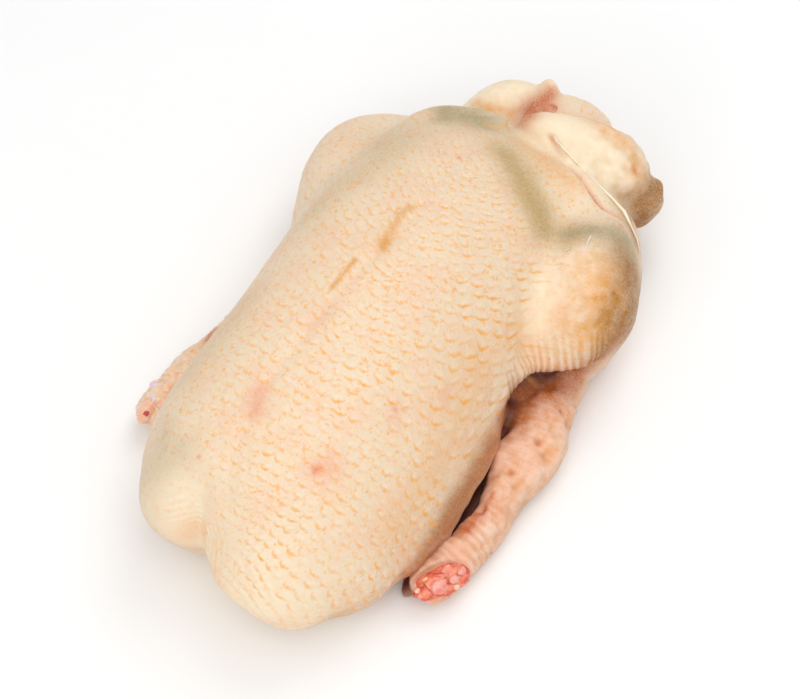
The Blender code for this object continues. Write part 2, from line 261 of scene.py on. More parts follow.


# Where each tint lies: a path of places, its width, its strength and how ragged its edge is. Some tints are
# painted shade or painted highlights, as marked at each.
TINTS = {
    "olive": (
        # Painted shade in the valley between the right thigh and the breast.
        (((3, 84, 79), (16, 75, 79.5), (29, 68, 76), (37, 64, 73)), 11, 0.9, 1),
        (((-45, 62, 84), (-25, 92, 77), (0, 100, 73)), 15, 0.2, 1),
        (((-52, 0, 86), (-44, 40, 86), (-55, 70, 70)), 14, 0.35, 1),
        (((-50, -60, 80), (-48, -100, 70)), 14, 0.3, 1),
    ),
    "grey": (
        (((50, 67, 71.5), (58, 71, 73), (70, 77, 69)), 9, 0.9, 1),
        (((72, 80, 66), (84, 71, 59)), 9, 0.8, 1),
        (((-40, 96, 73), (-25, 100, 73), (-12, 110, 71)), 10, 1.0, 1),
        # Painted shade on the left breast end's side, beyond the fold where it turns down.
        (((-30, -137, 79), (-37, -144, 69), (-42, -132, 74)), 9, 0.4, 1),
        (((-42, -146, 62), (-46, -146, 40), (-30, -152, 24)), 15, 0.35, 1),
    ),
    "pale": (
        (RIGHT_DRUM, 13, 0.8, 1),
        (LEFT_DRUM, 14, 0.8, 1),
        (((20, -164, 40), (45, -156, 42)), 26, 0.45, 1),
        (((-26, -150, 66), (-20, -152, 45)), 18, 0.45, 1),
        # Painted highlight on the top of the right thigh.
        (((57.5, 33, 65), (60, 22, 58)), 8, 0.6, 1),
        (((66, 47, 74), (62, 44, 72)), 12, 0.35, 1),
        (((24, 110, 63), (40, 105, 61), (57, 100, 58)), 4, 0.8, 0.5),
    ),
    "orange": (
        # Painted shade where the thigh's top turns away from the light, between its bright spot and its brown
        # side.
        (((77, 52, 69), (82, 42, 62), (78, 32, 56)), 12, 0.9, 1.5),
        (((55, 10, 60), (62, 12, 45)), 8, 0.45, 1),
        (((50, -20, 68), (56, -60, 62), (58, -100, 52)), 16, 0.45, 1),
        (((50, -135, 34), (30, -158, 26)), 12, 0.25, 1),
        # Painted shade in the crevices: beside the wedge, on the drumstick's far side, under the vent flap
        # and at the drumsticks' bases.
        (((2, 104, 71), (14, 101, 70), (34, 92, 69)), 7, 0.5, 1),
        (((28, 136, 61), (44, 133, 58), (58, 124, 48)), 8, 0.55, 1),
        (((-18.6, 99, 72.2), (-12.6, 102, 70.9), (-10.5, 108.4, 69.5), (-7, 116, 69)), 1.3, 0.5, 0.5),
        (((-36, 116, 56), (-24, 120, 58), (-13, 119, 64)), 3.2, 0.9, 0.5),
        (((10, 139, 62), (28, 140, 58)), 5, 0.4, 2),
        (((-37, 121, 54), (-29, 122, 56), (-18, 126, 55)), 4, 0.6, 1),
        # Painted shade in the hollow of the notch between the breast ends.
        (((-12, -149, 50), (-17, -152, 44)), 7, 0.3, 1),
        (((10, -162, 38), (2, -152, 55)), 5, 0.25, 1),
        *(((place, np.add(place, (0.6, 2.5, 0))), 3.8, 1.0, 1) for place in WING_PATCHES),
        *(((place, np.add(place, (1.0, 1.0, 0))), 3.0, 0.5, 1) for place in WING_PITS),
        (((85, -80, 20), (88, -88, 17)), 5, 0.6, 1.5),
    ),
    "brown": (
        # Mostly painted shade on the thigh's, the knee's and the flank's down-facing sides; the wing-patch
        # cores are the skin's own colour.
        (((82, 68, 64), (89, 61, 55), (91, 48, 51)), 12, 1.0, 1.3),
        (((84, 50, 64), (86, 40, 59)), 5, 0.6, 2),
        *(((place, place), 1.8, 0.6, 1) for place in WING_PATCHES),
        (((92, 34, 40), (92, 42, 44), (92, 56, 38), (84, 72, 36)), 14, 0.95, 1),
        (((60, 132, 40), (62, 124, 36), (67, 118, 26)), 14, 1.0, 1),
        (((60, 101, 56), (67, 95, 57), (74, 90, 55)), 6, 0.8, 1),
        (FLANK_BAND, 9.0, 1.0, 0.3),
        (((60, -124, 24), (48, -144, 18)), 8, 0.5, 1),
    ),
    "pink": (
        (RIGHT_WING, 20, 0.85, 1),
        (LEFT_WING, 18, 0.2, 1),
        (((-9, -50, 104), (-9.5, -58, 104)), 6, 0.35, 1),
        (((-10.8, -101, 98), (-8, -108, 97)), 6, 0.8, 1),
        (((28, -116, 88.8), (33, -110, 88.5)), 7, 0.5, 1),
        (((40.7, -71, 89), (43, -74, 88)), 6, 0.4, 1),
        (((51, -44, 78), (52, -48, 77)), 5, 0.4, 1),
        (((88, -88, 16), (84, -96, 14)), 6, 0.4, 1),
    ),
    "shade": (
        # Painted shade under the thigh's hem, on the web and along the flank band.
        (WEB, 8.5, 1.0, 0.4),
        (((93, 42, 38), (91, 30, 33), (85, 22, 31)), 7, 0.75, 0.6),
        (UNDER_HEM, 5.0, 0.95, 0.3),
        (FLANK_BAND, 6.0, 0.55, 0.3),
        (((64, -14, 26), (67.5, -40, 20)), 3, 0.4, 0.3),
    ),
    "ochre": (
        (((-10.7, 21, 99.5), (-11.5, 13, 100.3), (-7.5, -7, 103)), 2.3, 0.7, 1),
        (((-8.5, -3, 102.7), (-7.0, -8, 103)), 2.6, 0.9, 0.6),
        (((-13.2, -21, 103.4), (-13.5, -40, 103.9)), 1.4, 0.85, 0.5),
        (((-10, 6, 101), (-11, -4, 102)), 8, 0.15, 1),
    ),
    "vent": (
        (VENT_HOLLOW, 6.5, 0.95, 0.5),
        (((80.2, -60, 20.8), (79.0, -72, 20.3)), 4.0, 1.0, 1),
        (((80.8, -49, 22.0), (80.8, -57, 21.3)), 1.3, 0.9, 0.5),
        *(((place, place), 1.3, 0.8, 0.3) for place in WING_PITS),
        (((-82, -44, 22), (-79.5, -52, 22)), 2.6, 0.9, 1),
    ),
    "red": (
        (((28.3, -116, 88.8), (29.5, -114, 88.8)), 1.8, 0.7, 1),
        (((40.7, -71.2, 89), (41, -72, 89)), 1.4, 0.4, 1),
        (((-19.6, -135.3, 83.5), (-19.4, -135.3, 83.5)), 0.9, 0.8, 1),
        (((-11.8, 65, 88.1), (-11.6, 65, 88.1)), 0.9, 0.8, 1),
        (((65.7, 87.5, 65.5), (65.9, 87.5, 65.5)), 0.9, 0.9, 1),
        (((49, 127.5, 57), (52, 126, 55)), 1.4, 0.7, 1),
        (((61, 129, 45), (61.3, 129.3, 44.5)), 1.3, 0.8, 1),
        # Painted shade: thin dark lines in the crease round the wedge and under the vent flap.
        (WEDGE_CREASE, 1.1, 0.7, 0.6),
        (((-36, 117, 56), (-25, 119, 58), (-12, 121, 61)), 1.4, 0.6, 1),
    ),
    "gap": (
        # Painted shade in the gap under the flank and in the crease under the thigh's hem.
        (GAP_TOP, 3.2, 1.0, 0.2),
        (GAP_FLOOR, 7.5, 1.0, 0),
        (THIGH_HEM[:5], 1.5, 1.0, 0.2),
    ),
}


def tint(points, name):
    """How strongly one tint shows, from 0 to 1, with uneven edges."""
    clear = np.ones(len(points))
    for path, width, strength, ragged in TINTS[name]:
        reach = ragged * min(width * 0.3, 4.0)
        drift = np.stack([soft_noise(points, width * 0.9, seed) for seed in (3, 4, 5)], axis=1)
        moved = points + reach * drift
        clear *= 1 - strength * beside(moved, path, width)
    return 1 - clear


def on_wings(points):
    """1 on the two wings and 0 on the trunk and thighs."""
    right = ramp(22 - distance_to(points, RIGHT_WING)[0], 0, 4) * ramp(points[:, 0], 62, 70)
    left = ramp(21 - distance_to(points, LEFT_WING)[0], 0, 4) * ramp(-points[:, 0], 56, 64)
    return np.maximum(right, left) * ramp(38 - points[:, 2], 0, 6)


# The follicles' rows: the radius that the columns are counted on, how softly a row bends over the keel,
# how far it leans back from there at the neck end and how much more at the legs, how fast the columns spread
# to the right and to the left, and the size and height of the waves in which they stray.
COLUMN_RADIUS = 66
ROW_BEND = 8
ROW_LEAN = 0.16
ROW_LEAN_GAIN = 0.6
RIGHT_SPREAD = 0.035
LEFT_SPREAD = 0.01
BROAD_WANDER = (30, 1.6)
SMALL_WANDER = (8, 1.5)
# Where the follicles are fainter: by what share, and the two rises (axis, start, end) that it follows.
FAINTER = (
    (0.8, (Y, -130, -152), (X, 25, -5)),
    (0.4, (Y, 20, 80), (X, 30, 0)),
    (0.65, (X, 50, 60), (Y, 8, 24)),
    (0.9, (Y, 92, 112), (Z, 30, 60)),
    (0.85, (X, 20, 42), (Y, 52, 72)),
)


def waves(points, amount, seed):
    """Random waves; the amount is their size and their height in millimetres."""
    size, height = amount
    return height * soft_noise(points, size, seed)


def follicle_grid(points, looks):
    """Column and row numbers of the follicles and their strength; every other row is half a column on."""
    x, y, z = points.T
    middle = np.interp(y, *np.array(TRUNK_MIDDLE).T)
    angle = np.arctan2(x - middle, z - TRUNK_AXIS_HEIGHT)
    out = np.hypot(x - middle, z - TRUNK_AXIS_HEIGHT)
    lead = np.maximum(FRONT_TURN - y, 0)
    along = np.where(lead > 0, FRONT_TURN - FRONT_RADIUS * np.arctan2(lead, out), y)
    around = COLUMN_RADIUS * angle + waves(points, BROAD_WANDER, 11) + waves(points, SMALL_WANDER, 13)
    lean = ROW_LEAN + ROW_LEAN_GAIN * ramp(along, -110, 50)
    row_mm = along - lean * np.hypot(around, ROW_BEND)
    row_mm = row_mm + waves(points, BROAD_WANDER, 12) + waves(points, SMALL_WANDER, 14)
    widening = np.where(around > 0, RIGHT_SPREAD, LEFT_SPREAD)
    pitch = looks.column_pitch / MM
    column = np.sign(around) * np.log(1 + widening * np.abs(around) / pitch) / widening
    strength = 1 - 0.9 * tint(points, "pale")
    strength *= 1 - on_wings(points)
    strength *= 1 - 0.75 * np.maximum(tint(points, "olive"), tint(points, "grey"))
    for share, first, second in FAINTER:
        strength *= 1 - share * rise(points, *first) * rise(points, *second)
    strength *= 1 - 0.4 * ramp(-around, -10, 30)
    strength *= 0.25 + 0.75 * ramp(z, 6, 24)
    strength *= 1 - 0.9 * beside(points, FLANK_BAND, 6)
    strength *= 0.8 + 0.45 * soft_noise(points, 22, 15)
    return np.column_stack([column, row_mm / (looks.row_pitch / MM)]), np.clip(strength, 0, 1)


def follicle_relief(grid, strength, looks):
    """Height in millimetres of the pimples and pits."""
    row = np.floor(grid[:, 1])
    column = grid[:, 0] + 0.5 * (row % 2)
    across = (column - np.floor(column) - 0.5) * looks.column_pitch / MM
    along = (grid[:, 1] - row - 0.5) * looks.row_pitch / MM
    pimple = np.exp(-(across ** 2 + (along - 0.5) ** 2) / 2.2 ** 2)
    pit = np.exp(-(((across - 0.4) / 1.4) ** 2 + ((along + 1.7) / 1.0) ** 2))
    return strength * (pimple * looks.pimple_height - pit * looks.pit_depth) / MM


def stripes(points, path, length, pitch):
    """Waves that follow each other along a path, from -1 to 1."""
    share = distance_to(points, path)[1]
    return np.cos(2 * math.pi * (share * length / pitch + 0.35 * soft_noise(points, 7, 41)))


def thigh_folds(points):
    """The hem of the thigh over the wing and the crease below it."""
    over = rise(points, Y, -6, 8) * rise(points, X, 88, 68)
    hem = beside(points - (0, 3, 12), THIGH_HEM, 7) * over
    return 2.4 * hem - 6.0 * beside(points, THIGH_HEM, 4.0) - 1.5 * beside(points, GAP_TOP, 2.2)


# Creases at the rear: the path, its width and its depth.
REAR_CREASES = ((WEDGE_CREASE, 2.0, 2.6), (DRUM_BACK, 2.5, 1.5), (VENT_LINE, 2.0, 1.4), (VENT_HOLLOW, 5, 2.0))


def rear_folds(points):
    """Creases round the drumsticks and the vent, and the lumps of fat under the drumstick's skin."""
    low = sum(depth * beside(points, path, width) for path, width, depth in REAR_CREASES)
    lumps = rise(points, Y, 104, 116) * rise(points, X, 22, 36) * rise(points, Z, 20, 34)
    folds = 0.9 * soft_noise(points, 4.5, 35) + 0.8 * soft_noise(points * (1, 0.6, 1.6), 6, 36)
    swell = 1.6 * near(points, (38, 134, 60), 9) + 1.2 * near(points, (54, 127, 50), 8)
    return lumps * folds + swell - low


def front_folds(points):
    """The fold over the left breast end."""
    return 1.2 * beside(points, LOBE_FOLD, 9) - 1.6 * beside(points + (0, 5, 9), LOBE_FOLD, 8)


def wing_folds(points):
    """Pits and patches where the big feathers sat and the lumpy skin of the wings."""
    lumps = 0.7 * soft_noise(points, 5, 44) + 0.6 * soft_noise(points, 10, 45)
    lumps += 0.35 * soft_noise(points, 2.8, 46)
    height = on_wings(points) * outside_gap(points) * lumps
    for place in WING_PITS:
        height -= 2.4 * near(points, place, 1.9)
        height += 1.1 * near(points, np.array(place) + (-2.2, -4.5, 0.5), 4.0)
    for place in WING_PATCHES:
        height -= 1.4 * near(points, place, 3.0)
        height += 1.4 * near(points, np.array(place) + (1.5, 9.5, -4), 6.0)
    return height + 1.0 * near(points, (80.9, -42, 23), 4.5)


def outside_gap(points):
    """0 down in the gap between the right wing and the flank, where the skin is smooth, and 1 elsewhere."""
    return 1 - np.exp(-(distance_to(points, GAP_FLOOR)[0] / 9) ** 2)


def hem_gathers(points):
    """Skin gathered above the thigh's hem."""
    away = distance_to(points, THIGH_HEM)[0]
    above = rise(points, Z, 28, 34) * rise(points, X, 40, 50)
    return 0.5 * stripes(points, THIGH_HEM, 60, 3.4) * ramp(away, 3, 9) * (1 - ramp(away, 14, 30)) * above


def front_wrinkles(points):
    """Broken rings round the notch between the breast ends, and broken lines low on the right one."""
    away = np.linalg.norm(points - LOBE_HOLLOW, axis=1)
    broken = np.clip(0.5 + 1.1 * soft_noise(points, 6, 49), 0, 1)
    rings = np.cos(2 * math.pi * (away / 3.3 + 0.9 * soft_noise(points, 9, 42))) * ramp(40 - away, 0, 22)
    total = 0.2 * broken * rings * rise(points, Y, -136, -146) * ramp(away, 3, 8)
    slant = points @ np.array((0.55, 0.2, 0.8))
    lines = np.cos(2 * math.pi * (slant / 3.8 + 0.9 * soft_noise(points, 12, 43)))
    low = rise(points, Y, -134, -152) * rise(points, X, 4, 16) * rise(points, Z, 74, 56)
    return total + 0.14 * broken * lines * low


def wing_wrinkles(points):
    """Wrinkles across both wings."""
    inside = on_wings(points) * outside_gap(points)
    right = rise(points, X, 0, 1) * (0.35 + 0.65 * rise(points, Y, -50, -75))
    right = right * stripes(points, RIGHT_WING, 160, 3.6) * (0.6 + 0.6 * soft_noise(points, 8, 47))
    left = rise(points, X, 0, -1) * stripes(points, LEFT_WING, 150, 3.8)
    left = left * (0.5 + 0.7 * soft_noise(points, 8, 48))
    return inside * (0.45 * right + 0.35 * left)


def fine_wrinkles(points):
    """All the low wrinkles of the skin, which the painted shade and highlights of its colour follow too."""
    pebbled = 0.7 * soft_noise(points, 3.0, 51) + 0.5 * soft_noise(points * (1, 0.6, 1), 4.4, 52)
    low = hem_gathers(points) + front_wrinkles(points) + wing_wrinkles(points)
    return low + 0.7 * pebbled * loose_skin(points)


def loose_skin(points):
    """1 where the skin is coarse and lumpy: thighs, drumsticks, knee and wings."""
    where = np.maximum(near(points, (78, 48, 60), 30), near(points, (45, 128, 58), 26))
    where = np.maximum(where, 0.6 * near(points, (-32, 128, 55), 24))
    return np.clip(np.maximum(where, 0.8 * on_wings(points) * outside_gap(points)), 0, 1)


# Places where the outline of the bird is fuller or slimmer: the place, its reach and the way it moves.
SHIFTS = (
    ((7, -159, 38), 12, (-1.2, -3.2, -1.4)), ((38, -163, 24), 15, (-0.9, 1.9, 1.2)),
    ((92, 32, 30), 10, (-2.6, -1.4, 0)), ((89, -8, 15), 20, (1.3, 0.8, 0)),
    ((92, 45, 28), 11, (-3.4, -0.8, 0)),
    ((94, -40, 13), 15, (-3.6, 0, 0)), ((75, -42, 17), 9, (2.0, 0, 0)), ((75, -60, 15), 9, (2.4, 0, 0)),
    ((75.5, -77, 15), 9, (2.6, 0, 0)), ((75.5, -92, 14), 8, (1.6, 0, 0)),
)


def cut_wing(points):
    """Flattens the right wing's tip to the slanting cut, inside a low rim of skin."""
    along, across, facing = cut_axes()
    gap = points - CUT_PLACE
    height = gap @ facing
    ellipse = np.hypot(gap @ along / CUT_HALVES[0], gap @ across / CUT_HALVES[1])
    inside = (1 - ramp(ellipse, 1.0, 1.25)) * ramp(height, -8, -5)
    rim = np.exp(-((ellipse - 1.25) / 0.16) ** 2) * ramp(height, -9, -5) * (height < 6)
    return points - facing * (inside * (height + 1.2))[:, None] + facing * (0.9 * rim)[:, None]


def cut_axes():
    """The cut's three axes: along it, across it and out of it."""
    along = np.array(CUT_ALONG) / np.linalg.norm(CUT_ALONG)
    facing = np.array(CUT_FACING) - along * (along @ np.array(CUT_FACING))
    facing /= np.linalg.norm(facing)
    return along, np.cross(facing, along), facing


def applied(piece):
    """Turns a piece's modifiers into its mesh."""
    graph = bpy.context.evaluated_depsgraph_get()
    mesh = bpy.data.meshes.new_from_object(piece.evaluated_get(graph))
    old = piece.data
    piece.modifiers.clear()
    piece.data = mesh
    bpy.data.meshes.remove(old)
    mesh.name = piece.name


def thin_underside(piece, share):
    """Larger faces where the piece faces down, until only the given share of all its faces is left."""
    facing = positions(piece.data)[1]
    under = piece.vertex_groups.new(name="underside")
    under.add(np.flatnonzero(facing[:, 2] < UNDERSIDE_FACING).tolist(), 1.0, "REPLACE")
    fewer = piece.modifiers.new("fewer", "DECIMATE")
    fewer.vertex_group = under.name
    fewer.ratio = share
    applied(piece)
    piece.vertex_groups.clear()


def new_piece(name, form):
    """An object at the origin with the finished bmesh form."""
    mesh = bpy.data.meshes.new(name)
    form.to_mesh(mesh)
    form.free()
    piece = bpy.data.objects.new(name, mesh)
    bpy.context.scene.collection.objects.link(piece)
    return piece


def finished(piece, material):
    """Smooth shading, the material and the frame's words for a piece of the bird."""
    piece.data.materials.clear()
    piece.data.materials.append(material)
    piece.data.shade_smooth()
    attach(piece, BODY)


def positions(mesh):
    """The mesh's points and normals, the points in millimetres."""
    points = np.empty(len(mesh.vertices) * 3)
    normals = np.empty(len(mesh.vertices) * 3)
    mesh.vertices.foreach_get("co", points)
    mesh.vertex_normals.foreach_get("vector", normals)
    return points.reshape(-1, 3) / MM, normals.reshape(-1, 3)


def move_to(mesh, points):
    """Puts the mesh's points at new places, in millimetres."""
    mesh.vertices.foreach_set("co", (points * MM).ravel())
    mesh.update()


def keep(mesh, name, values, kind="FLOAT"):
    """Keeps one field on the mesh for its material."""
    layer = mesh.attributes.new(name, kind, "POINT")
    numbers = np.ascontiguousarray(values, np.float32).ravel()
    layer.data.foreach_set("value" if kind == "FLOAT" else "vector", numbers)


# Nodes
def node(tree, kind, inputs=None, **settings):
    """A node with its settings and inputs; an input is a value or another node's output."""
    made = tree.nodes.new(kind)
    for key, value in settings.items():
        setattr(made, key, value)
    for key, value in (inputs or {}).items():
        if isinstance(value, bpy.types.NodeSocket):
            tree.links.new(value, made.inputs[key])
        else:
            made.inputs[key].default_value = value
    return made


def calc(tree, operation, *values, clamp=False):
    """The result of a Math node."""
    made = node(tree, "ShaderNodeMath", dict(enumerate(values)), operation=operation, use_clamp=clamp)
    return made.outputs[0]


def fade(tree, value, start, end, low=0.0, high=1.0):
    """A smooth step from low to high as value goes from start to end."""
    made = node(tree, "ShaderNodeMapRange", {0: value, 1: start, 2: end, 3: low, 4: high},
                interpolation_type="SMOOTHSTEP")
    return made.outputs[0]


def blended(tree, share, first, second):
    """Two colours mixed."""
    made = node(tree, "ShaderNodeMix", {"Factor": share}, data_type="RGBA")
    for index, colour in ((6, first), (7, second)):
        if isinstance(colour, bpy.types.NodeSocket):
            tree.links.new(colour, made.inputs[index])
        else:
            made.inputs[index].default_value = (*colour, 1)
    return made.outputs[2]


def attribute(tree, name, output="Fac"):
    """A field that the mesh keeps."""
    return node(tree, "ShaderNodeAttribute", attribute_name=name).outputs[output]


def mottle_group():
    """Uneven tone of raw skin and flesh: broad patches, fine grain and small bumps."""
    if "mottle" in bpy.data.node_groups:
        return bpy.data.node_groups["mottle"]
    group = bpy.data.node_groups.new("mottle", "ShaderNodeTree")
    for name, value in (("Patch scale", 60.0), ("Grain scale", 900.0)):
        socket = group.interface.new_socket(name, in_out="INPUT", socket_type="NodeSocketFloat")
        socket.default_value = value
    for name in ("Patches", "Grain", "Wrinkles", "Specks"):
        group.interface.new_socket(name, in_out="OUTPUT", socket_type="NodeSocketFloat")
    inward = group.nodes.new("NodeGroupInput")
    outward = group.nodes.new("NodeGroupOutput")
    place = node(group, "ShaderNodeTexCoord").outputs["Object"]
    patches = node(group, "ShaderNodeTexNoise", {"Vector": place, "Scale": inward.outputs[0], "Detail": 3.0,
                                                 "Roughness": 0.55})
    grain = node(group, "ShaderNodeTexNoise", {"Vector": place, "Scale": inward.outputs[1], "Detail": 4.0,
                                               "Roughness": 0.65})
    creases = node(group, "ShaderNodeTexVoronoi", {"Vector": place, "Scale": calc(group, "MULTIPLY",
                   inward.outputs[1], 0.7)}, feature="SMOOTH_F1")
    specks = node(group, "ShaderNodeTexNoise", {"Vector": place, "Scale": calc(group, "MULTIPLY",
                  inward.outputs[1], 0.45), "Detail": 2.0, "Roughness": 0.6})
    for index, source in enumerate((patches, grain, creases, specks)):
        group.links.new(source.outputs["Distance" if source is creases else "Fac"], outward.inputs[index])
    return group


def mottle(tree, patch, grain):
    """The mottle group placed in a material."""
    made = node(tree, "ShaderNodeGroup", node_tree=mottle_group())
    made.inputs[0].default_value = patch
    made.inputs[1].default_value = grain
    return made.outputs


def new_material(name, **constants):
    """A material with a Principled shader and its constant inputs, whose names have _ for a space."""
    material = bpy.data.materials.new(name)
    material.use_nodes = True
    shader = material.node_tree.nodes["Principled BSDF"]
    for key, value in constants.items():
        shader.inputs[key.replace("_", " ")].default_value = value
    return material, material.node_tree, shader


def skin_material(looks):
    """Raw plucked skin: tints, some of them painted shade and painted highlights, mottling, follicles and a
    moist shine.
    """
    material, tree, shader = new_material(
        "duck_skin_raw", Subsurface_Weight=0.12, Subsurface_Radius=(1.0, 0.45, 0.25), Subsurface_Scale=0.004,
        Specular_IOR_Level=0.28)
    patches, grain, creases, specks = mottle(tree, 55.0, 900.0)
    colour = blended(tree, fade(tree, patches, 0.42, 0.66), looks.cream, looks.rose)
    colour = blended(tree, fade(tree, grain, 0.5, 0.64, 0.0, 0.55), colour, looks.yellow)
    colour = blended(tree, fade(tree, grain, 0.5, 0.36, 0.0, 0.6), colour, looks.lilac)
    colour = blended(tree, fade(tree, specks, 0.54, 0.72, 0.0, 0.65), colour, looks.follicle)
    for name in TINTS:
        share = attribute(tree, name)
        if name != "gap":
            share = calc(tree, "MULTIPLY", share, fade(tree, grain, 0.25, 0.75, 0.75, 1.2), clamp=True)
        colour = blended(tree, share, colour, getattr(looks, name))

    # Painted shade deepens the tone in the wrinkles' furrows and a painted highlight pales their backs.
    wrinkles = attribute(tree, "wrinkles")
    wrinkle_shading = node(tree, "ShaderNodeHueSaturation", {
        "Saturation": fade(tree, wrinkles, -0.6, 0.6, 1.16, 0.86),
        "Value": fade(tree, wrinkles, -0.6, 0.6, 0.92, 1.05), "Color": colour})
    colour = wrinkle_shading.outputs[0]

    # Follicles: an orange mouth with a crescent under each pimple.
    split = node(tree, "ShaderNodeSeparateXYZ", {0: attribute(tree, "follicles", "Vector")})
    column, row, strength = split.outputs
    row_number = calc(tree, "FLOOR", row)
    stagger = calc(tree, "MULTIPLY", calc(tree, "FLOORED_MODULO", row_number, 2.0), 0.5)
    column = calc(tree, "ADD", column, stagger)
    across = calc(tree, "MULTIPLY", calc(tree, "SUBTRACT", calc(tree, "FRACT", column), 0.5),
                  looks.column_pitch / MM)
    along = calc(tree, "MULTIPLY", calc(tree, "SUBTRACT", calc(tree, "FRACT", row), 0.5),
                 looks.row_pitch / MM)
    cell = node(tree, "ShaderNodeCombineXYZ", {0: calc(tree, "FLOOR", column), 1: row_number})
    chance = node(tree, "ShaderNodeTexWhiteNoise", {"Vector": cell.outputs[0]}, noise_dimensions="2D")
    place = node(tree, "ShaderNodeCombineXYZ", {0: across, 1: along})

    def reach(x, y, wide, deep):
        offset = node(tree, "ShaderNodeVectorMath", {0: place.outputs[0], 1: (x, y, 0.0)},
                      operation="SUBTRACT")
        scaled = node(tree, "ShaderNodeVectorMath", {0: offset.outputs[0], 1: (1 / wide, 1 / deep, 0.0)},
                      operation="MULTIPLY")
        far = node(tree, "ShaderNodeVectorMath", {0: scaled.outputs[0]}, operation="LENGTH")
        return far.outputs["Value"]

    mouth = fade(tree, reach(0.4, -1.6, 1.2, 0.95), 0.3, 1.15, 1.0, 0.0)
    pimple = fade(tree, reach(0.0, 0.4, 2.6, 2.1), 0.0, 1.0, 1.0, 0.0)
    ring = fade(tree, calc(tree, "ABSOLUTE", calc(tree, "SUBTRACT", reach(0.0, 0.4, 2.6, 2.1), 1.0)),
                0.05, 0.38, 1.0, 0.0)
    crescent = calc(tree, "MULTIPLY", ring, fade(tree, along, -1.6, 0.5, 1.0, 0.0))
    tail = fade(tree, reach(0.8, -1.2, 1.9, 0.9), 0.2, 1.1, 1.0, 0.0)
    tail = calc(tree, "MULTIPLY", tail, fade(tree, column, 3.5, 7.5, 0.0, 0.8))
    mark = calc(tree, "MAXIMUM", mouth, calc(tree, "MULTIPLY", crescent, 0.8))
    mark = calc(tree, "MAXIMUM", mark, tail)
    some = fade(tree, chance.outputs["Value"], 0.0, 1.0, 0.25, 1.0)
    mark = calc(tree, "MULTIPLY", calc(tree, "MULTIPLY", mark, strength), some)
    colour = blended(tree, mark, colour, looks.follicle)
    light = calc(tree, "MULTIPLY", calc(tree, "MULTIPLY", pimple, strength), 0.2)
    colour = blended(tree, light, colour, looks.pale)
    tree.links.new(colour, shader.inputs["Base Color"])
    tree.links.new(fade(tree, grain, 0.3, 0.7, 0.36, 0.52), shader.inputs["Roughness"])

    height = calc(tree, "MULTIPLY", calc(tree, "SUBTRACT", pimple, mouth), strength)
    height = calc(tree, "ADD", calc(tree, "MULTIPLY", height, 0.9), calc(tree, "MULTIPLY", grain, 0.5))
    height = calc(tree, "ADD", height, calc(tree, "MULTIPLY", creases, 0.35))
    bump = node(tree, "ShaderNodeBump", {"Strength": 0.5, "Distance": 0.35 * MM, "Height": height})
    tree.links.new(bump.outputs[0], shader.inputs["Normal"])
    return material


def wet_material(name, base, second, patch, roughness=0.28, coat=0.4, scatter=0.2, depth=0.5):
    """Moist flesh, gristle or skin edge in two tones."""
    material, tree, shader = new_material(
        name, Subsurface_Weight=scatter, Subsurface_Radius=(1.0, 0.4, 0.3), Subsurface_Scale=0.003,
        Coat_Weight=coat, Coat_Roughness=0.12)
    patches, grain, creases, _ = mottle(tree, patch, 1400.0)
    colour = blended(tree, fade(tree, patches, 0.38, 0.62), base, second)
    tree.links.new(colour, shader.inputs["Base Color"])
    shine = fade(tree, grain, 0.3, 0.7, roughness - 0.06, roughness + 0.1)
    tree.links.new(shine, shader.inputs["Roughness"])
    bump = node(tree, "ShaderNodeBump", {"Strength": depth, "Distance": 0.5 * MM, "Height": creases})
    tree.links.new(bump.outputs[0], shader.inputs["Normal"])
    return material


# The groove over the keel, the bulge of the flank over the gap behind the wing, and the waves all over.
KEEL_WIDTH = 3.5
FLANK_BULGE = 4.8
FLANK_WIDTH = 11
BROAD_WAVES = (14, 0.35)
SHORT_WAVES = (6, 0.18)
SOFTENING_ROUNDS = 14


class DUCK_OT_carcass(bpy.types.Operator):
    """The whole skin: trunk, breast ends, thighs, drumsticks and wings in one sheet"""
    bl_idname = "duck.carcass"
    bl_label = "Carcass skin"

    def execute(self, context):
        looks = context.scene.duck_skin
        form = bmesh.new()
        form.from_mesh(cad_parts[NODE].data)
        bmesh.ops.remove_doubles(form, verts=form.verts, dist=1e-6)
        skin = new_piece("carcass_skin", form)
        even = skin.modifiers.new("even", "REMESH")
        even.mode = "VOXEL"
        even.voxel_size = looks.voxel
        softened = skin.modifiers.new("softened", "SMOOTH")
        softened.factor = 0.5
        softened.iterations = SOFTENING_ROUNDS
        applied(skin)
        thin_underside(skin, looks.faces_kept)
        points, normals = positions(skin.data)
        places = points.copy()
        height = -looks.keel_depth / MM * beside(points, KEEL, KEEL_WIDTH) * rise(points, Y, 90, 60)
        height += thigh_folds(points) + rear_folds(points) + front_folds(points) + wing_folds(points)
        height += FLANK_BULGE * beside(points, FLANK_EDGE, FLANK_WIDTH)
        wrinkles = fine_wrinkles(points)
        height += wrinkles
        keep(skin.data, "wrinkles", wrinkles)
        height += waves(points, BROAD_WAVES, 31) + waves(points, SHORT_WAVES, 32)
        grid, strength = follicle_grid(points, looks)
        height += follicle_relief(grid, strength, looks)
        height *= rise(points, Z, 0.5, 4)
        points = points + normals * height[:, None]
        for place, reach, move in SHIFTS:
            points += near(points, place, reach)[:, None] * np.array(move)
        points = cut_wing(points)
        points[:, 2] = np.maximum(points[:, 2], 0)
        move_to(skin.data, points)
        keep(skin.data, "follicles", np.column_stack([grid, strength]), "FLOAT_VECTOR")
        for name in TINTS:
            keep(skin.data, name, tint(places, name))
        finished(skin, skin_material(looks))
        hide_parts(NODE)
        return {"FINISHED"}


